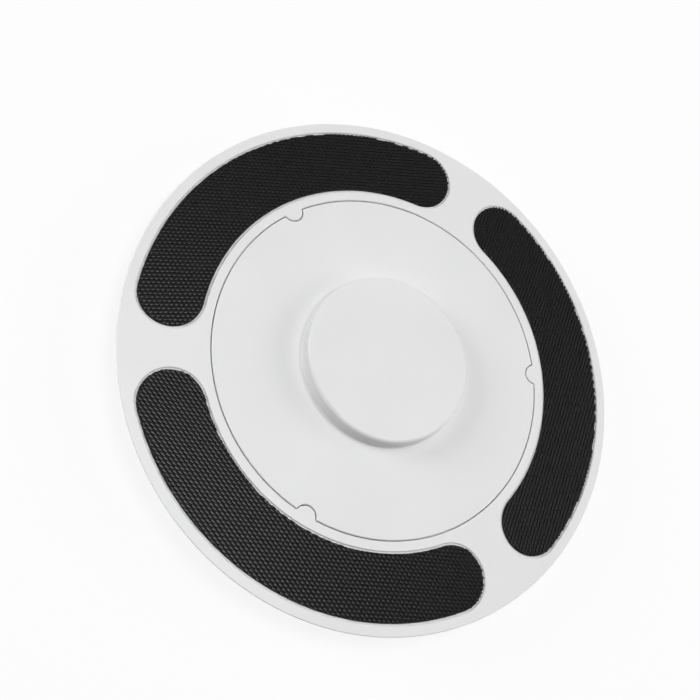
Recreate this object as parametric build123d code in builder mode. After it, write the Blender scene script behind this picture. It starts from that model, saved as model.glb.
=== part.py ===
"""Rotary mop bracket of a floor-cleaning robot: a round plate that carries a mop cloth on three hook pads.

The plate lies with its hook side up. Z = 0 is the end of the hub that faces the robot, and the Z axis
is the axis that the plate spins about. All sizes are in millimetres.
"""

import os
from math import cos, radians, sin, sqrt

from build123d import *

# Plate
plate_radius = 75.0
outer_land = 3.0
inner_land = 2.75
flange_wall = 2.0
shoulder_reach = 3.4
rim_land = 0.35
rim_bevel = 1.7
rim_break = 0.2
edge_break = 0.2

# Hook pads: arcs with round ends, in recesses of the plate
pad_count = 3
pad_width = 18.15
pad_half_span = 46.1
pad_base = 0.3
hook_height = 0.5
hook_proud = 0.3
hook_row_pitch = 1.22
hook_row_width = 0.62
hook_margin = 0.3
recess_clearance = 0.5

# Centre cover, flush in a well of the plate
cover_wall = 2.0
cover_gap = 0.32
key_radius = 2.8
key_offset = 0.2
key_root_round = 0.7
ledge_width = 2.2

# Round boss of the cover, which centres the mop cloth
boss_radius = 24.25
boss_height = 5.0
boss_round = 1.0
boss_root_break = 0.3

# Pan below the cover
pan_gap = 1.2
pan_wall = 1.8

# Drive magnet, trapped between its turret and the boss
magnet_radius = 10.0
magnet_thickness = 3.0
magnet_chamfer = 0.3
magnet_clearance = 0.15
magnet_play = 0.1
turret_wall = 2.0
turret_drop = 0.4

# Hexagonal drive socket in its tube
socket_flats = 16.0
socket_wall = 2.6
socket_end_wall = 1.2
socket_lead_in = 0.8

# Cover screws and the posts that they bite into
screw_count = 3
screw_core_radius = 1.05
screw_head_radius = 2.5
screw_head_height = 1.8
screw_head_break = 0.6
screw_length = 6.5
screw_slot_width = 0.9
screw_slot_length = 2.8
screw_slot_depth = 0.9
pilot_clearance = 0.05
pilot_spare_depth = 0.6
shank_clearance = 0.4
post_wall = 1.9

# Hub ring around the socket, with gussets on the back of the pan
hub_height = 5.0
hub_wall = 2.4
hub_break = 0.6
driver_room = 1.4
gusset_count = 6
gusset_thickness = 1.6
gusset_drop = 0.8
gusset_inset = 1.5

# Ribs on the back of the flange
rib_count = 12
rib_thickness = 1.4
rib_end_height = 0.6
rib_rim_gap = 3.0

# Heights
pan_back = hub_height
pan_floor = pan_back + pan_wall
ledge_height = pan_floor + pan_gap
face_height = ledge_height + cover_wall
boss_top = face_height + boss_height
boss_ceiling = boss_top - cover_wall
magnet_top = boss_ceiling - magnet_play
magnet_seat = magnet_top - magnet_thickness
turret_top = magnet_top - turret_drop
socket_end = magnet_seat - socket_end_wall
recess_depth = pad_base + hook_height - hook_proud
recess_floor = face_height - recess_depth
flange_back = recess_floor - flange_wall

# Radii and angles
recess_width = pad_width + 2 * recess_clearance
pad_mid_radius = plate_radius - outer_land - recess_width / 2
well_radius = pad_mid_radius - recess_width / 2 - inner_land
ledge_radius = well_radius - cover_gap - ledge_width
pan_back_radius = ledge_radius + pan_wall / 2
shoulder_radius = well_radius + shoulder_reach
rib_end_radius = plate_radius - rim_bevel - rib_rim_gap
pocket_radius = magnet_radius + magnet_clearance
turret_radius = pocket_radius + turret_wall
tube_radius = socket_flats / sqrt(3) + socket_wall
boss_inner_radius = boss_radius - cover_wall
post_radius = screw_core_radius + pilot_clearance + post_wall
screw_circle = (max(turret_radius, tube_radius) + boss_inner_radius) / 2
hub_inner_radius = screw_circle + screw_head_radius + driver_room
hub_radius = hub_inner_radius + hub_wall
pad_pitch_angle = 360 / pad_count
screw_start_angle = 180 / screw_count
gusset_start_angle = 180 / gusset_count
rib_start_angle = 180 / rib_count

os.makedirs("parts", exist_ok=True)

# Centreline of the hook pad that lies on the +X axis
pad_centreline = CenterArc((0, 0), pad_mid_radius, -pad_half_span, 2 * pad_half_span)


def keyed_outline(clearance):
    """Round outline, inside the well by the clearance, with a half-round notch at each pad's middle."""
    with BuildSketch() as outline:
        Circle(well_radius - clearance)
        with PolarLocations(well_radius + key_offset, pad_count):
            Circle(key_radius + clearance, mode=Mode.SUBTRACT)
        fillet(outline.vertices(), key_root_round - clearance)
    return outline.sketch


# Gusset between the hub ring and the back of the pan
with BuildPart() as gusset:
    with BuildSketch(Plane.XZ):
        with BuildLine():
            Polyline(
                (hub_inner_radius + hub_wall / 2, gusset_drop),
                (hub_radius, gusset_drop),
                (pan_back_radius - gusset_inset, pan_back),
                (pan_back_radius - gusset_inset, pan_back + pan_wall / 2),
                (hub_inner_radius + hub_wall / 2, pan_back + pan_wall / 2),
                close=True,
            )
        make_face()
    extrude(amount=gusset_thickness / 2, both=True)

# Rib that tapers outwards from the shoulder of the pan along the back of the flange
with BuildPart() as rib:
    with BuildSketch(Plane.XZ):
        with BuildLine():
            Polyline(
                (pan_back_radius, pan_back),
                (rib_end_radius, flange_back - rib_end_height),
                (rib_end_radius, flange_back + flange_wall / 2),
                (shoulder_radius, flange_back + flange_wall / 2),
                (pan_back_radius, pan_back + pan_wall / 2),
                close=True,
            )
        make_face()
    extrude(amount=rib_thickness / 2, both=True)

# Carrier plate: shallow pan with a flange, hub, socket, magnet turret, cover well and pad recesses
with BuildPart() as carrier_plate:
    with BuildSketch(Plane.XZ):
        with BuildLine():
            Polyline(
                (0, pan_back),
                (pan_back_radius, pan_back),
                (shoulder_radius, flange_back),
                (plate_radius - rim_bevel, flange_back),
                (plate_radius, face_height - rim_land),
                (plate_radius, face_height),
                (0, face_height),
                close=True,
            )
        make_face()
    revolve(axis=Axis.Z)
    rim_edge = carrier_plate.edges().filter_by(GeomType.CIRCLE).group_by(Axis.Z)[-1]
    chamfer(rim_edge, rim_break)

    # hub ring and socket tube on the robot side
    with BuildSketch():
        Circle(hub_radius)
        Circle(hub_inner_radius, mode=Mode.SUBTRACT)
        Circle(tube_radius)
    extrude(amount=pan_back)
    hub_rims = carrier_plate.edges().filter_by(GeomType.CIRCLE).group_by(Axis.Z)[0]
    chamfer(hub_rims, hub_break)
    with PolarLocations(0, gusset_count, start_angle=gusset_start_angle):
        add(gusset.part)
    with PolarLocations(0, rib_count, start_angle=rib_start_angle):
        add(rib.part)

    # well of the cover and recesses of the hook pads, with their edges broken
    with BuildSketch(Plane.XY.offset(face_height)):
        add(keyed_outline(0))
    extrude(amount=-cover_wall, mode=Mode.SUBTRACT)
    with BuildSketch(Plane.XY.offset(face_height)):
        with PolarLocations(0, pad_count):
            SlotArc(pad_centreline, recess_width)
    extrude(amount=-recess_depth, mode=Mode.SUBTRACT)
    hook_side = carrier_plate.faces().sort_by(Axis.Z)[-1]
    chamfer(hook_side.inner_wires().edges(), edge_break)

    # pan under the cover, with the magnet's turret standing in it
    with BuildSketch(Plane.XY.offset(ledge_height)):
        Circle(ledge_radius)
    extrude(amount=-pan_gap, mode=Mode.SUBTRACT)
    with BuildSketch(Plane.XY.offset(pan_floor)):
        Circle(turret_radius)
    extrude(amount=turret_top - pan_floor)
    with BuildSketch(Plane.XY.offset(turret_top)):
        Circle(pocket_radius)
    extrude(amount=magnet_seat - turret_top, mode=Mode.SUBTRACT)

    # hexagonal drive socket with a lead-in
    with BuildSketch():
        RegularPolygon(socket_flats / 2, 6, major_radius=False)
    extrude(amount=socket_end, mode=Mode.SUBTRACT)
    socket_mouth = carrier_plate.edges().filter_by(GeomType.LINE).group_by(Axis.Z)[0]
    chamfer(socket_mouth, socket_lead_in)

    # clearance holes of the cover screws
    with Locations(Plane.XY.offset(pan_back)):
        with PolarLocations(screw_circle, screw_count, start_angle=screw_start_angle):
            Hole(screw_core_radius + shank_clearance, depth=pan_wall)
carrier_plate.part.label = "carrier_plate"
export_step(carrier_plate.part, "parts/carrier_plate.step")

# Centre cover: flush disc with the hollow boss and three screw posts
with BuildPart() as centre_cover:
    with BuildSketch(Plane.XY.offset(ledge_height)):
        add(keyed_outline(cover_gap))
    extrude(amount=cover_wall)
    chamfer(centre_cover.edges().group_by(Axis.Z)[-1], edge_break)
    with BuildSketch(Plane.XY.offset(ledge_height)):
        Circle(boss_radius)
    extrude(amount=boss_top - ledge_height)
    fillet(centre_cover.edges().group_by(Axis.Z)[-1], boss_round)
    boss_root = centre_cover.faces().filter_by(Plane.XY).group_by(Axis.Z)[-2].edges()
    chamfer(boss_root.filter_by(lambda edge: abs(edge.radius - boss_radius) < edge_break), boss_root_break)
    with BuildSketch(Plane.XY.offset(ledge_height)):
        Circle(boss_inner_radius)
    extrude(amount=boss_ceiling - ledge_height, mode=Mode.SUBTRACT)
    with BuildSketch(Plane.XY.offset(pan_floor)):
        with PolarLocations(screw_circle, screw_count, start_angle=screw_start_angle):
            Circle(post_radius)
    extrude(amount=boss_ceiling - pan_floor)
    with BuildSketch(Plane.XY.offset(pan_floor)):
        with PolarLocations(screw_circle, screw_count, start_angle=screw_start_angle):
            Circle(screw_core_radius + pilot_clearance)
    extrude(amount=screw_length - pan_wall + pilot_spare_depth, mode=Mode.SUBTRACT)
centre_cover.part.label = "centre_cover"
export_step(centre_cover.part, "parts/centre_cover.step")

# Hook pads: tape cut to an arc, its hooks standing in straight rows along the pad's middle radius
field_reach = pad_width / 2 - hook_margin
pad_end_x = pad_mid_radius * cos(radians(pad_half_span))
pad_end_y = pad_mid_radius * sin(radians(pad_half_span))
row_limit = int((pad_end_y + field_reach - hook_row_width) / hook_row_pitch)


def field_span(offset):
    """Inner and outer reach of the hook field on a line beside the pad's middle radius."""
    cap_half = sqrt(max(field_reach**2 - (offset - pad_end_y) ** 2, 0))
    inner_radius = pad_mid_radius - field_reach
    outer_radius = pad_mid_radius + field_reach
    inner, outer = pad_end_x - cap_half, pad_end_x + cap_half
    if offset < inner_radius * sin(radians(pad_half_span)):
        inner = sqrt(inner_radius**2 - offset**2)
    if offset < outer_radius * sin(radians(pad_half_span)):
        outer = sqrt(outer_radius**2 - offset**2)
    return inner, outer


for pad_number in range(pad_count):
    pad_plane = Plane.XY.offset(recess_floor).rotated((0, 0, pad_number * pad_pitch_angle))
    with BuildPart() as hook_pad:
        with BuildSketch(pad_plane):
            SlotArc(pad_centreline, pad_width)
        extrude(amount=pad_base)
        with BuildSketch(pad_plane.offset(pad_base)):
            for row in range(-row_limit, row_limit + 1):
                near_inner, near_outer = field_span(abs(row) * hook_row_pitch - hook_row_width / 2)
                far_inner, far_outer = field_span(abs(row) * hook_row_pitch + hook_row_width / 2)
                row_start = max(near_inner, far_inner)
                row_end = min(near_outer, far_outer)
                with Locations(((row_start + row_end) / 2, row * hook_row_pitch)):
                    Rectangle(row_end - row_start, hook_row_width)
        extrude(amount=hook_height)
    hook_pad.part.label = f"hook_pad_{pad_number + 1}"
    export_step(hook_pad.part, f"parts/{hook_pad.part.label}.step")

# Drive magnet in its turret
with BuildPart() as drive_magnet:
    with BuildSketch(Plane.XY.offset(magnet_seat)):
        Circle(magnet_radius)
    extrude(amount=magnet_thickness)
    chamfer(drive_magnet.edges(), magnet_chamfer)
drive_magnet.part.label = "drive_magnet"
export_step(drive_magnet.part, "parts/drive_magnet.step")

# Cover screws: pan heads with a cross slot, seated on the back of the pan
with BuildPart() as cover_screws:
    with BuildSketch(Plane.XY.offset(pan_back)):
        with PolarLocations(screw_circle, screw_count, start_angle=screw_start_angle):
            Circle(screw_head_radius)
    extrude(amount=-screw_head_height)
    chamfer(cover_screws.edges().group_by(Axis.Z)[0], screw_head_break)
    with BuildSketch(Plane.XY.offset(pan_back)):
        with PolarLocations(screw_circle, screw_count, start_angle=screw_start_angle):
            Circle(screw_core_radius)
    extrude(amount=screw_length)
    with BuildSketch(Plane.XY.offset(pan_back - screw_head_height)):
        with PolarLocations(screw_circle, screw_count, start_angle=screw_start_angle):
            Rectangle(screw_slot_length, screw_slot_width)
            Rectangle(screw_slot_width, screw_slot_length)
    extrude(amount=screw_slot_depth, mode=Mode.SUBTRACT)
cover_screws.part.label = "cover_screws"
export_step(cover_screws.part, "parts/cover_screws.step")
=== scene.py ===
# %% [markdown]
# A mop bracket for a floor-cleaning robot is a white moulded plate with a flush centre cover and three
# black arcs of hook tape. The plate, the cover, the magnet and the screws come from the CAD frame and keep
# their shapes. This lesson grows the hooks on the tape, gives every piece its finish and sets the light.

# %% Load the frame
import math

import bpy
import numpy as np
from mathutils import Matrix, Vector


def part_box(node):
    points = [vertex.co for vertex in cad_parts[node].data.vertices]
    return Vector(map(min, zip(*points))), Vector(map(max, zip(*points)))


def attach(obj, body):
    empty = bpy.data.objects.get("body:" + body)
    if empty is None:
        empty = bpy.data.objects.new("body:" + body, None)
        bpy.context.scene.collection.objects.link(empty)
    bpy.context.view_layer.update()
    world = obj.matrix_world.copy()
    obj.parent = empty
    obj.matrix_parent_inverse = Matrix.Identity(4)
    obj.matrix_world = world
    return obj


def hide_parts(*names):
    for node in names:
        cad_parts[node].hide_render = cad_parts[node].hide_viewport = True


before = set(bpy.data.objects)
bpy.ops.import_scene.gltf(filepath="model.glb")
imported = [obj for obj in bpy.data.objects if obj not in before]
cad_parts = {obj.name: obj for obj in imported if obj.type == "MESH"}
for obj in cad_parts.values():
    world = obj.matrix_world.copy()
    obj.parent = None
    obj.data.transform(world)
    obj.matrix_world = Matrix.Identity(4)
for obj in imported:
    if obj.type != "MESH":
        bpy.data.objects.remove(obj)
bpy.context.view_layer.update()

# %% [markdown]
# The plate lies on a plain floor, the simplest piece of all: four points and one face. Blender's own plane
# would do for it, but one helper can make every new piece of this lesson. It takes whole arrays of points
# and faces, which is far quicker for thousands of hooks than adding vertices to a mesh one by one.

# %% A piece from arrays, and the floor
FLOOR_HALF = 4.0


def piece_from_arrays(name, points, quads, triangles, smooth):
    """An object at the origin whose mesh has these points (n, 3), quads (q, 4) and triangles (t, 3).

    The corners of all faces stand in one list, and each face starts where the faces before it end. smooth
    has one flag for each quad and then one for each triangle.
    """
    corners = np.concatenate([quads.ravel(), triangles.ravel()]).astype(np.int32)
    face_sizes = np.concatenate([np.full(len(quads), 4), np.full(len(triangles), 3)])
    face_starts = np.concatenate([[0], np.cumsum(face_sizes)[:-1]]).astype(np.int32)
    mesh = bpy.data.meshes.new(name)
    mesh.vertices.add(len(points))
    mesh.vertices.foreach_set("co", np.asarray(points, np.float32).ravel())
    mesh.loops.add(len(corners))
    mesh.loops.foreach_set("vertex_index", corners)
    mesh.polygons.add(len(face_sizes))
    mesh.polygons.foreach_set("loop_start", face_starts)
    mesh.polygons.foreach_set("use_smooth", np.asarray(smooth, bool))
    mesh.update(calc_edges=True)
    piece = bpy.data.objects.new(name, mesh)
    bpy.context.scene.collection.objects.link(piece)
    return piece


floor_corners = np.array([[-1, -1, 0], [1, -1, 0], [1, 1, 0], [-1, 1, 0]]) * FLOOR_HALF
floor = piece_from_arrays("floor", floor_corners, np.array([[0, 1, 2, 3]]), np.zeros((0, 3), int), [False])
print("floor faces:", len(floor.data.polygons), "width in metres:", 2 * FLOOR_HALF)

# %% [markdown]
# A hook pad is tape cut to an arc with round ends, and its box in the frame says all about that outline. The
# sizes could be typed in again, but those read from the frame follow every change of the CAD part. With m
# the middle radius, w half the width and a half the angle between the end centres, the first pad reaches
# out to m + w, in to m cos a - w and sideways to m sin a + w. Squaring the two end equations and adding
# them leaves one quadratic in w.

# %% The outline of the tape
MM = 0.001
PAD_NODES = ["hook_pad_1", "hook_pad_2", "hook_pad_3"]
pad_low, pad_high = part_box(PAD_NODES[0])
linear_term = 2 * (pad_low.x - pad_high.y + pad_high.x)
free_term = pad_low.x**2 + pad_high.y**2 - pad_high.x**2
half_width = (math.sqrt(linear_term**2 - 4 * free_term) - linear_term) / 2
middle_radius = pad_high.x - half_width
half_angle = math.atan2(pad_high.y - half_width, pad_low.x + half_width)
print("tape width mm:", round(2 * half_width / MM, 2), "middle radius mm:", round(middle_radius / MM, 2))

# %% [markdown]
# The tape is a thin flat strip, stuck into a recess of the plate. A filled curve could make its top, but the
# triangles of such a fill run anyhow. Here the top is a grid: one parameter runs along the arc and on round
# each end, and the other runs across. The lines across shrink round an end and meet in one point at its tip.

# %% The top of the tape
ARC_STEPS = 96
END_STEPS = 16
ACROSS_STEPS = 10


def tape_surface(stations, across):
    """Flat points of the tape, (stations, across, 2), as a function of the way along and the way across.

    Between the end centres a point is at the angle s and the radius m + v w. Round an end it is the end
    centre plus w sin t along the arc plus v w cos t outwards, so that all v meet in one tip.
    """
    arc_angle = np.clip(stations, -half_angle, half_angle)
    end_turn = (stations - arc_angle)[:, None]
    radial = np.stack([np.cos(arc_angle), np.sin(arc_angle)], axis=-1)[:, None, :]
    tangent = np.stack([-np.sin(arc_angle), np.cos(arc_angle)], axis=-1)[:, None, :]
    outwards = middle_radius + across[None, :] * half_width * np.cos(end_turn)
    onwards = half_width * np.sin(end_turn)
    return outwards[..., None] * radial + onwards[..., None] * tangent


end_stations = half_angle + np.linspace(0, math.pi / 2, END_STEPS + 1)[1:]
arc_stations = np.linspace(-half_angle, half_angle, ARC_STEPS + 1)
stations = np.concatenate([-end_stations[::-1], arc_stations, end_stations])
tape_grid = tape_surface(stations, np.linspace(-1, 1, ACROSS_STEPS + 1))
print("points of the tape's top, along and across:", tape_grid.shape[:2])

# %% [markdown]
# A sheet without thickness can't be printed or weighed, so the tape gets a bottom and a wall all round. A
# Solidify modifier would do that too. Listed here, the faces at the two tips are clean triangles, and the
# hooks can later join the same mesh.

# %% The tape as a closed slab
TAPE_THICKNESS = 0.3 * MM
tape_bottom = pad_low.z
tape_top = tape_bottom + TAPE_THICKNESS


def closed_slab(grid, top_height, bottom_height):
    """Points, quads and triangles of a slab whose top is a flat grid that ends in a tip at both ends.

    The bottom repeats the points of the top at its own height, with every face turned over. The rim goes
    along one side of the grid and back on the other, and each of its steps gets one quad of the wall.
    """
    rows, columns = grid.shape[:2]
    between_tips = grid[1:-1].reshape(-1, 2)
    flat = np.concatenate([grid[:1, 0], between_tips, grid[-1:, 0]])
    index = np.zeros((rows, columns), int)
    index[1:-1] = 1 + np.arange(len(between_tips)).reshape(rows - 2, columns)
    index[-1] = len(flat) - 1
    cell = np.stack([index[:-1, :-1], index[:-1, 1:], index[1:, 1:], index[1:, :-1]], axis=-1)
    body = cell[1:-1].reshape(-1, 4)
    tips = np.concatenate([cell[0][:, [0, 2, 3]], cell[-1][:, [0, 1, 2]]])
    rim = np.concatenate([index[:, 0], index[-2:0:-1, -1]])
    next_rim = np.roll(rim, -1)
    below = len(flat)
    wall = np.stack([rim, next_rim, next_rim + below, rim + below], axis=-1)
    top = np.column_stack([flat, np.full(len(flat), top_height)])
    bottom = np.column_stack([flat, np.full(len(flat), bottom_height)])
    quads = np.concatenate([body, body[:, ::-1] + below, wall])
    triangles = np.concatenate([tips, tips[:, ::-1] + below])
    return np.concatenate([top, bottom]), quads, triangles


tape_points, tape_quads, tape_triangles = closed_slab(tape_grid, tape_top, tape_bottom)
print("faces of one bare tape:", len(tape_quads), "quads and", len(tape_triangles), "triangles")

# %% [markdown]
# The hooks are moulded with the tape: straight rows along the pad's middle radius, each row shifted by half
# a pitch against the next. The pads are punched out of a wide tape, so hooks stand right up to the edge, and
# the punch cuts through the ones that cross it. A hook is kept where a good part of its head is on the tape.
# An array modifier or a particle system could scatter them too, but a lattice in numpy keeps the exact pitch.

# %% The lattice of hooks
ROW_PITCH = 1.22 * MM
HOOK_PITCH = 1.155 * MM
ROW_SHIFT = 0.5
CUT_REACH = 0.15 * MM


def middle_line(flat):
    """The points of the tape's middle line that are nearest to flat points (..., 2).

    Such a point is at the middle radius and at the same angle, held between the end centres.
    """
    angle = np.clip(np.arctan2(flat[..., 1], flat[..., 0]), -half_angle, half_angle)
    return middle_radius * np.stack([np.cos(angle), np.sin(angle)], axis=-1)


def hook_places():
    """Flat places of the hooks on the first pad, (hooks, 2).

    A hook is at x = m + (step + shift on every second row) times its pitch and at y = row times the row
    pitch. It is kept where its way to the middle line is less than half the width plus the cut reach.
    """
    row_limit = int(pad_high.y / ROW_PITCH)
    step_limit = int((middle_radius - pad_low.x) / HOOK_PITCH) + 1
    row, step = np.meshgrid(np.arange(-row_limit, row_limit + 1), np.arange(-step_limit, step_limit + 1))
    flat = np.stack([middle_radius + (step + ROW_SHIFT * (row % 2)) * HOOK_PITCH, row * ROW_PITCH], axis=-1)
    from_middle_line = np.linalg.norm(flat - middle_line(flat), axis=-1)
    return flat[from_middle_line < half_width + CUT_REACH]


places = hook_places()
print("hooks on one pad:", len(places))

# %% [markdown]
# One hook is a short stem with a long head that overhangs it to both sides of its row, turned a little so
# that the heads of neighbouring rows nearly meet. The head is almost flat, with a rounded edge. It could be
# sculpted, but at half a millimetre a stack of eight-sided rings is enough: the height, the half width
# along the row and the half width across it change from ring to ring. The first ring is sunk into the tape.

# %% One hook
HOOK_SIDES = 8
HEAD_TURN = math.radians(5)
RING_HEIGHT = np.array([-0.1, 0.50, 0.60, 0.86, 0.97, 1.0])
RING_ALONG = np.array([0.24, 0.19, 0.33, 0.37, 0.35, 0.30]) * MM
RING_ACROSS = np.array([0.38, 0.30, 0.74, 0.82, 0.79, 0.72]) * MM
END_QUADS = np.array([[0, 1, 2, 7], [2, 3, 6, 7], [3, 4, 5, 6]])
hook_height = pad_high.z - tape_top


def one_hook():
    """Points and quads of a hook that stands at the origin.

    A ring point is at (along cos u, across sin u, height), turned about Z by the head's turn. Quads join
    each ring to the next, and three quads close each of the two ends.
    """
    around = np.linspace(0, 2 * math.pi, HOOK_SIDES, endpoint=False) + math.pi / HOOK_SIDES
    along = RING_ALONG[:, None] * np.cos(around)
    across = RING_ACROSS[:, None] * np.sin(around)
    points = np.stack([
        along * math.cos(HEAD_TURN) + across * math.sin(HEAD_TURN),
        across * math.cos(HEAD_TURN) - along * math.sin(HEAD_TURN),
        np.repeat(RING_HEIGHT[:, None] * hook_height, HOOK_SIDES, axis=1),
    ], axis=-1).reshape(-1, 3)
    ring_start = np.arange(len(RING_HEIGHT) - 1)[:, None] * HOOK_SIDES
    here = ring_start + np.arange(HOOK_SIDES)
    after = ring_start + np.roll(np.arange(HOOK_SIDES), -1)
    sides = np.stack([here, after, after + HOOK_SIDES, here + HOOK_SIDES], axis=-1).reshape(-1, 4)
    top = END_QUADS + (len(RING_HEIGHT) - 1) * HOOK_SIDES
    return points, np.concatenate([sides, END_QUADS[:, ::-1], top])


hook_points, hook_quads = one_hook()
print("one hook:", len(hook_quads), "quads, height mm:", round(hook_height / MM, 2))

# %% [markdown]
# The hooks of a real tape are never quite alike, so each one leans and stands a little differently, by
# random numbers from a fixed seed. Instances of one hook would take less memory, but the hooks at the edge
# are all cut differently: where the punch went through a hook, its points are drawn back to the edge.

# %% The field of hooks
LEAN = 0.03
HEIGHT_SPREAD = 0.05
SEED = 20
pad_turns = 360 / len(PAD_NODES) * np.arange(len(PAD_NODES))


def punched(flat):
    """Points that cross the edge of the tape, drawn back to it towards the middle line.

    The way from the middle line to the point stays as it is up to half the width, and is cut to it beyond.
    """
    middle = middle_line(flat)
    offset = flat - middle
    distance = np.linalg.norm(offset, axis=-1, keepdims=True)
    return middle + offset * (half_width / np.maximum(distance, half_width))


def hook_field(pad_turn):
    """All hooks of one pad, before it is turned: points, quads, and the rise and tone of each point.

    Each hook's heights are multiplied by its own share. A point then moves sideways by its height times
    the hook's lean, goes to the hook's place, and is drawn back where it crosses the edge.
    """
    random = np.random.default_rng(SEED + int(round(pad_turn)))
    count = len(places)
    height_share = 1 - HEIGHT_SPREAD * random.random(count)
    lean = random.normal(0, LEAN, (count, 2))
    points = np.repeat(hook_points[None], count, axis=0)
    points[..., 2] *= height_share[:, None]
    points[..., :2] = punched(points[..., :2] + points[..., 2:3] * lean[:, None, :] + places[:, None, :])
    points[..., 2] += tape_top
    first_point = (np.arange(count) * len(hook_points))[:, None, None]
    quads = (hook_quads[None] + first_point).reshape(-1, 4)
    rise = np.tile(np.repeat(RING_HEIGHT, HOOK_SIDES), count)
    tone = np.repeat(random.random(count), len(hook_points))
    return points.reshape(-1, 3), quads, rise, tone


hook_fields = [hook_field(pad_turn) for pad_turn in pad_turns]
print("quads in each field:", [len(quads) for points, quads, rise, tone in hook_fields])

# %% [markdown]
# A tape and its hooks are one moulding, so they become one piece. The tape is shaded flat and keeps its
# sharp edge; the hooks are shaded smooth, which rounds their heads. Two numbers ride on each point: how high
# it stands on its hook, and the hook's own tone. The finish reads both. A painted image could hold them too,
# but an attribute needs no unwrapping.

# %% Build the three hook pads
TAPE_TONE = 0.5


def point_attribute(piece, name, values):
    """Keeps one number for each point of the piece, which its material can read by that name."""
    attribute = piece.data.attributes.new(name, "FLOAT", "POINT")
    attribute.data.foreach_set("value", np.asarray(values, np.float32))


def about_z(degrees):
    """The matrix of a turn about Z, with the rows (cos, -sin, 0), (sin, cos, 0) and (0, 0, 1)."""
    cosine = math.cos(math.radians(degrees))
    sine = math.sin(math.radians(degrees))
    return np.array([[cosine, -sine, 0], [sine, cosine, 0], [0, 0, 1]])


hook_pads = []
for pad_number, node in enumerate(PAD_NODES):
    field_points, field_quads, rise, tone = hook_fields[pad_number]
    points = np.concatenate([tape_points, field_points]) @ about_z(pad_turns[pad_number]).T
    quads = np.concatenate([tape_quads, field_quads + len(tape_points)])
    smooth = np.repeat([False, True, False], [len(tape_quads), len(field_quads), len(tape_triangles)])
    pad = piece_from_arrays(f"hook_tape_{pad_number + 1}", points, quads, tape_triangles, smooth)
    point_attribute(pad, "rise", np.concatenate([np.zeros(len(tape_points)), rise]))
    point_attribute(pad, "tone", np.concatenate([np.full(len(tape_points), TAPE_TONE), tone]))
    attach(pad, "root")
    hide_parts(node)
    hook_pads.append(pad)
    print(pad.name, "faces:", len(pad.data.polygons))

# %% [markdown]
# The plate and the cover are moulded in the same white plastic. A finish is a material with one Principled
# shader. What is the same all over, here how strongly the plastic mirrors, is set on the shader's own
# sockets, where anyone who uses the part finds it. The next two cells add what changes from place to place.

# %% White moulded plastic
WHITE_IOR = 1.52
WHITE_SPECULAR = 0.35


def new_finish(name):
    """A material with its node tree, its Principled shader and an Object coordinate socket."""
    material = bpy.data.materials.new(name)
    material.use_nodes = True
    tree = material.node_tree
    shader = tree.nodes["Principled BSDF"]
    coordinates = tree.nodes.new("ShaderNodeTexCoord").outputs["Object"]
    return material, tree, shader, coordinates


def dress(piece, material):
    """Gives the piece this material and no other."""
    piece.data.materials.clear()
    piece.data.materials.append(material)


white, white_tree, white_shader, white_coordinates = new_finish("white_moulded_plastic")
white_shader.inputs["IOR"].default_value = WHITE_IOR
white_shader.inputs["Specular IOR Level"].default_value = WHITE_SPECULAR
for node in ("carrier_plate", "centre_cover"):
    dress(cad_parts[node], white)
    print(node, "wears", white.name)

# %% [markdown]
# A large white moulding is never one even white. A photograph of plastic could be laid over it, but it would
# have to be unwrapped and would repeat. A slow noise on Object coordinates, with clouds of about 30 mm, runs
# on from the plate to the cover and keeps the flat face from looking computed.

# %% A slow cloud in the white
WHITE_LOW = (0.755, 0.757, 0.762)
WHITE_HIGH = (0.785, 0.786, 0.789)
CLOUD_GRAIN = 30 * MM

# Nearly all values of a noise lie in this span
NOISE_SPAN = (0.3, 0.7)


def noise(tree, coordinates, grain, detail=2.0, roughness=0.5):
    """Noise whose grains are about that many metres wide: its scale is one over the grain."""
    node = tree.nodes.new("ShaderNodeTexNoise")
    node.inputs["Scale"].default_value = 1 / grain
    node.inputs["Detail"].default_value = detail
    node.inputs["Roughness"].default_value = roughness
    tree.links.new(coordinates, node.inputs["Vector"])
    return node.outputs["Fac"]


def ramp(tree, value, stops, colours):
    """Colours by value: each stop has its colour, and values between two stops mix their colours."""
    node = tree.nodes.new("ShaderNodeValToRGB")
    elements = node.color_ramp.elements
    while len(elements) < len(stops):
        elements.new(stops[-1])
    for element, stop, colour in zip(elements, stops, colours):
        element.position = stop
        element.color = (*colour, 1)
    tree.links.new(value, node.inputs["Fac"])
    return node.outputs["Color"]


cloud = noise(white_tree, white_coordinates, CLOUD_GRAIN)
white_colour = ramp(white_tree, cloud, NOISE_SPAN, (WHITE_LOW, WHITE_HIGH))
white_tree.links.new(white_colour, white_shader.inputs["Base Color"])
print("white from", WHITE_LOW, "to", WHITE_HIGH)

# %% [markdown]
# The mould is spark-eroded, which leaves a very fine matt texture. Up close it is a shallow grain of a
# quarter of a millimetre; from a step away it only softens the highlights. Real dents would need millions of
# faces, so one noise makes the gloss uneven and tilts the light as a bump.

# %% The spark texture
SPARK_GRAIN = 0.25 * MM
SPARK_ROUGHNESS = 0.6
SPARK_DEPTH = 0.012 * MM
SPARK_STRENGTH = 0.35
WHITE_ROUGHNESS = (0.36, 0.48)


def remap(tree, value, low, high, to_low, to_high):
    """The value stretched evenly from one range to another, and held inside the new range."""
    node = tree.nodes.new("ShaderNodeMapRange")
    for socket, number in zip(("From Min", "From Max", "To Min", "To Max"), (low, high, to_low, to_high)):
        node.inputs[socket].default_value = number
    tree.links.new(value, node.inputs["Value"])
    return node.outputs["Result"]


def bump(tree, height, depth, strength):
    """A normal that leans with the slope of a height from 0 to 1, whose full depth is in metres."""
    node = tree.nodes.new("ShaderNodeBump")
    node.inputs["Distance"].default_value = depth
    node.inputs["Strength"].default_value = strength
    tree.links.new(height, node.inputs["Height"])
    return node.outputs["Normal"]


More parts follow.
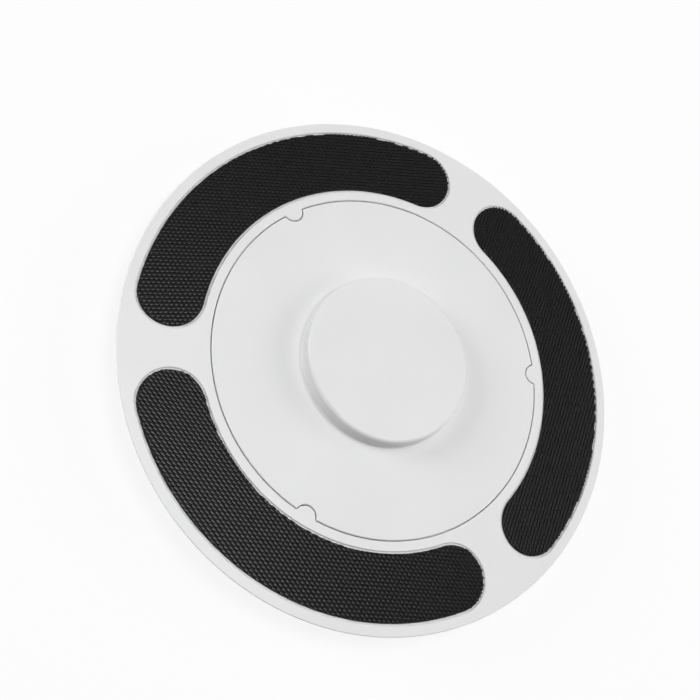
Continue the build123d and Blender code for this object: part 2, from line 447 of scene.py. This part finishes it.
spark = noise(white_tree, white_coordinates, SPARK_GRAIN, roughness=SPARK_ROUGHNESS)
white_gloss = remap(white_tree, spark, *NOISE_SPAN, *WHITE_ROUGHNESS)
white_tree.links.new(white_gloss, white_shader.inputs["Roughness"])
spark_normal = bump(white_tree, spark, SPARK_DEPTH, SPARK_STRENGTH)
white_tree.links.new(spark_normal, white_shader.inputs["Normal"])
print("spark grain mm:", SPARK_GRAIN / MM, "roughness from", WHITE_ROUGHNESS[0], "to", WHITE_ROUGHNESS[1])

# %% [markdown]
# Hook tape is black nylon. Its colour carries painted shade: the floor of the tape is the darkest and the
# heads the palest, for the shade that falls under and between the heads. Three materials could do that, but
# they would meet in hard borders, so one ramp turns the rise of each point into its colour.

# %% Black nylon
# Painted shade: the floor and the stems are darker than the heads, where shade falls under the heads
NYLON_FLOOR_PAINTED_SHADE = (0.003, 0.003, 0.0031)
NYLON_STEM_PAINTED_SHADE = (0.004, 0.004, 0.0043)
NYLON_HEAD = (0.0045, 0.0045, 0.0047)
NYLON_STOPS = (0.0, 0.55, 0.9)
NYLON_IOR = 1.53
NYLON_SPECULAR = 0.2


def point_number(tree, name):
    """A socket with the number that rides on the points of a piece by that name."""
    node = tree.nodes.new("ShaderNodeAttribute")
    node.attribute_name = name
    return node.outputs["Fac"]


nylon, nylon_tree, nylon_shader, nylon_coordinates = new_finish("black_hook_nylon")
nylon_shader.inputs["IOR"].default_value = NYLON_IOR
nylon_shader.inputs["Specular IOR Level"].default_value = NYLON_SPECULAR
rise_number = point_number(nylon_tree, "rise")
# The ramp paints shade by rise, darkest on the floor of the tape and palest on the heads
nylon_colour_with_painted_shade = ramp(nylon_tree, rise_number, NYLON_STOPS, (NYLON_FLOOR_PAINTED_SHADE, NYLON_STEM_PAINTED_SHADE, NYLON_HEAD))
nylon_tree.links.new(nylon_colour_with_painted_shade, nylon_shader.inputs["Base Color"])
for pad in hook_pads:
    dress(pad, nylon)
    print(pad.name, "wears", nylon.name)

# %% [markdown]
# The floor of the tape is dull and the heads have a soft gloss, no two quite the same. The gloss could come
# from one noise for all, but then a patch of it would run over several hooks. The tone of each hook sets the
# gloss of its own head, and the rise says where the head starts. A very fine grain breaks the highlights.

# %% The gloss of the hooks
TAPE_ROUGHNESS = 0.6
HEAD_ROUGHNESS = (0.19, 0.29)

# The gloss of the head starts at the first rise and is full at the second
HEAD_START = (0.5, 0.8)

NYLON_GRAIN = 0.08 * MM
NYLON_DEPTH = 0.006 * MM
NYLON_STRENGTH = 0.4

head_gloss = remap(nylon_tree, point_number(nylon_tree, "tone"), 0, 1, *HEAD_ROUGHNESS)
nylon_gloss = nylon_tree.nodes.new("ShaderNodeMix")
nylon_gloss.inputs["A"].default_value = TAPE_ROUGHNESS
nylon_tree.links.new(remap(nylon_tree, rise_number, *HEAD_START, 0, 1), nylon_gloss.inputs["Factor"])
nylon_tree.links.new(head_gloss, nylon_gloss.inputs["B"])
nylon_tree.links.new(nylon_gloss.outputs["Result"], nylon_shader.inputs["Roughness"])
nylon_noise = noise(nylon_tree, nylon_coordinates, NYLON_GRAIN)
nylon_normal = bump(nylon_tree, nylon_noise, NYLON_DEPTH, NYLON_STRENGTH)
nylon_tree.links.new(nylon_normal, nylon_shader.inputs["Normal"])
print("roughness of the tape:", TAPE_ROUGHNESS, "and of the heads:", HEAD_ROUGHNESS)

# %% [markdown]
# The magnet is nickel plated and the screws are zinc plated. Both are bare metal with a faint cloudiness in
# the plating, which shows as uneven colour and gloss, and with fine scuffs. The two could have a finish each
# of their own, but they differ only in colour and gloss, so one function makes both.

# %% Plated metals
PLATING_GRAIN = 2 * MM
PLATING_DETAIL = 4.0
SCUFF_GRAIN = 0.12 * MM
SCUFF_DEPTH = 0.004 * MM
SCUFF_STRENGTH = 0.3
NICKEL_COLOURS = ((0.56, 0.53, 0.48), (0.66, 0.63, 0.57))
NICKEL_ROUGHNESS = (0.22, 0.36)
ZINC_COLOURS = ((0.52, 0.53, 0.55), (0.64, 0.65, 0.66))
ZINC_ROUGHNESS = (0.28, 0.45)


def plated_metal(name, colours, roughness):
    """Metal whose colour and roughness go from the first to the second value with one clouded noise."""
    material, tree, shader, coordinates = new_finish(name)
    plating = noise(tree, coordinates, PLATING_GRAIN, detail=PLATING_DETAIL)
    scuff = noise(tree, coordinates, SCUFF_GRAIN)
    tree.links.new(ramp(tree, plating, NOISE_SPAN, colours), shader.inputs["Base Color"])
    tree.links.new(remap(tree, plating, *NOISE_SPAN, *roughness), shader.inputs["Roughness"])
    tree.links.new(bump(tree, scuff, SCUFF_DEPTH, SCUFF_STRENGTH), shader.inputs["Normal"])
    shader.inputs["Metallic"].default_value = 1.0
    return material


dress(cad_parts["drive_magnet"], plated_metal("nickel_plate", NICKEL_COLOURS, NICKEL_ROUGHNESS))
dress(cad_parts["cover_screws"], plated_metal("zinc_plate", ZINC_COLOURS, ZINC_ROUGHNESS))
print("metals:", [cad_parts[node].data.materials[0].name for node in ("drive_magnet", "cover_screws")])

# %% [markdown]
# The floor is like white paper. Lit paper alone would look grey to the camera, and more light would bleach
# the plate. So a part of what is seen of the floor is plain white and the rest is lit, which keeps a soft
# shadow under the plate. Further out the plain white takes over, and no edge of the floor shows.

# %% The finish of the floor
FLOOR_WHITE = (0.93, 0.93, 0.93, 1)
FLOOR_ROUGHNESS = 0.9
FLOOR_GLOW_SHARE = 0.86
SHADOW_REACH = 0.15
WHITE_FROM = 0.60


def seen_rays(tree):
    """A socket that is 1 for what the camera sees, directly, in a reflection or through glass, and else 0.

    It is the largest of three flags of the ray.
    """
    path = tree.nodes.new("ShaderNodeLightPath")
    seen = path.outputs["Is Camera Ray"]
    for ray in ("Is Glossy Ray", "Is Transmission Ray"):
        either = tree.nodes.new("ShaderNodeMath")
        either.operation = "MAXIMUM"
        tree.links.new(seen, either.inputs[0])
        tree.links.new(path.outputs[ray], either.inputs[1])
        seen = either.outputs[0]
    return seen


def white_share(tree, coordinates):
    """How much of the floor is plain white: 0 for rays that light, and else a share that grows outwards.

    The share is held near the plate, and grows evenly with the distance from the origin until it is 1.
    """
    distance = tree.nodes.new("ShaderNodeVectorMath")
    distance.operation = "LENGTH"
    tree.links.new(coordinates, distance.inputs[0])
    grown = remap(tree, distance.outputs["Value"], SHADOW_REACH, WHITE_FROM, FLOOR_GLOW_SHARE, 1)
    share = tree.nodes.new("ShaderNodeMath")
    share.operation = "MULTIPLY"
    tree.links.new(seen_rays(tree), share.inputs[0])
    tree.links.new(grown, share.inputs[1])
    return share.outputs[0]


paper, paper_tree, paper_shader, paper_coordinates = new_finish("pale_floor")
paper_shader.inputs["Base Color"].default_value = FLOOR_WHITE
paper_shader.inputs["Roughness"].default_value = FLOOR_ROUGHNESS
paper_shader.inputs["Specular IOR Level"].default_value = 0
glow = paper_tree.nodes.new("ShaderNodeEmission")
glow.inputs["Color"].default_value = (1, 1, 1, 1)
mix = paper_tree.nodes.new("ShaderNodeMixShader")
paper_tree.links.new(white_share(paper_tree, paper_coordinates), mix.inputs["Fac"])
paper_tree.links.new(paper_shader.outputs["BSDF"], mix.inputs[1])
paper_tree.links.new(glow.outputs["Emission"], mix.inputs[2])
paper_tree.links.new(mix.outputs["Shader"], paper_tree.nodes["Material Output"].inputs["Surface"])
dress(floor, paper)
print("floor is plain white from", WHITE_FROM, "m outwards")

# %% [markdown]
# Three soft boxes light the plate, as in a small studio. The hook heads nearest to the camera mirror the one
# nearly overhead. The left one lights the boss's wall on its side and leaves the wall towards the foot of the
# picture in shade, and the right one softens the shadow that the left one throws. A sun lamp would be
# simpler, but its shadows have hard edges.

# %% Lamps
BOSS_HEIGHT = 5.0 * MM

# Each lamp has a name, a place in metres, a width and a height in metres, and a power in watts
LAMPS = [
    ("overhead_box", (0.04, 0.03, 0.75), 0.36, 0.36, 3.2),
    ("left_box", (-1.13, 0.46, 0.45), 0.60, 0.60, 8.7),
    ("right_box", (1.17, -0.08, 0.56), 1.00, 0.50, 6.3),
]


def soft_box(name, place, width, height, power, target):
    """A rectangular area lamp, turned so that its own -Z points at the target."""
    lamp = bpy.data.lights.new(name, "AREA")
    lamp.shape = "RECTANGLE"
    lamp.size = width
    lamp.size_y = height
    lamp.energy = power
    holder = bpy.data.objects.new(name, lamp)
    holder.location = place
    holder.rotation_euler = (target - Vector(place)).to_track_quat("-Z", "Y").to_euler()
    bpy.context.scene.collection.objects.link(holder)


face_centre = Vector((0, 0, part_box("centre_cover")[1].z - BOSS_HEIGHT))
for lamp in LAMPS:
    soft_box(*lamp, face_centre)
print("lamps:", [name for name, *rest in LAMPS], "aimed at a height of mm:", round(face_centre.z / MM, 2))

# %% [markdown]
# The studio around is a dim room with a white backdrop. The backdrop is only what is seen and mirrored, so it
# doesn't bleach the plate, and overhead it gives way to a darker ceiling, which keeps the black heads black.
# A picture of a studio could light the scene too, but this one is a few numbers and needs no file.

# %% Room
ROOM_LIGHT = 0.11
BACKDROP_LIGHT = 1.0
CEILING_LIGHT = 0.45
BACKDROP_TOP = math.sin(math.radians(25))
CEILING_EDGE = math.sin(math.radians(45))


def white_room():
    """A world that lights dimly and is seen as a white backdrop with a darker ceiling.

    The height of a ray is the Z of its direction, the sine of its angle above the horizon. Between the top
    of the backdrop and the edge of the ceiling, the one fades evenly into the other.
    """
    world = bpy.data.worlds.new("room")
    world.use_nodes = True
    tree = world.node_tree
    height = tree.nodes.new("ShaderNodeSeparateXYZ")
    tree.links.new(tree.nodes.new("ShaderNodeTexCoord").outputs["Generated"], height.inputs["Vector"])
    backdrop = remap(tree, height.outputs["Z"], BACKDROP_TOP, CEILING_EDGE, BACKDROP_LIGHT, CEILING_LIGHT)
    strength = tree.nodes.new("ShaderNodeMix")
    tree.links.new(seen_rays(tree), strength.inputs["Factor"])
    strength.inputs["A"].default_value = ROOM_LIGHT
    tree.links.new(backdrop, strength.inputs["B"])
    background = tree.nodes["Background"]
    background.inputs["Color"].default_value = (1, 1, 1, 1)
    tree.links.new(strength.outputs["Result"], background.inputs["Strength"])
    return world


bpy.context.scene.world = white_room()
print("room lights with", ROOM_LIGHT, "and is seen as", BACKDROP_LIGHT, "to", CEILING_LIGHT)

# %% [markdown]
# The camera stands where the photograph was taken from, as worked out from the circles of the plate: its
# place, the point of the face that it aims at, and its roll, since the picture is turned against the
# horizon. It could be set by eye, but the circles give all of it. The focal length follows from 1071 pixels
# on a frame of 700.

# %% Camera
FRAME_PIXELS = 700
FOCAL_PIXELS = 1071
SENSOR_WIDTH = 36.0
CLIP_START = 0.01
CAMERA_FROM_FACE = Vector((-125.99, -87.72, 260.48)) * MM
AIM_ON_FACE = Vector((-9.86, 3.13, 0.0)) * MM
ROLL = math.radians(52.57)

forward = (AIM_ON_FACE - CAMERA_FROM_FACE).normalized()
level_right = forward.cross(Vector((0, 0, 1))).normalized()
level_up = level_right.cross(forward)
right = math.cos(ROLL) * level_right + math.sin(ROLL) * level_up
up = right.cross(forward)
camera_data = bpy.data.cameras.new("camera")
camera_data.sensor_width = SENSOR_WIDTH
camera_data.lens = FOCAL_PIXELS / FRAME_PIXELS * SENSOR_WIDTH
camera_data.clip_start = CLIP_START
camera = bpy.data.objects.new("camera", camera_data)
camera_turn = Matrix((right, up, -forward)).transposed().to_4x4()
camera.matrix_world = Matrix.Translation(face_centre + CAMERA_FROM_FACE) @ camera_turn
bpy.context.scene.collection.objects.link(camera)
bpy.context.scene.camera = camera
bpy.context.scene.view_settings.view_transform = "Standard"
print("camera at mm:", [round(value / MM, 1) for value in camera.location])
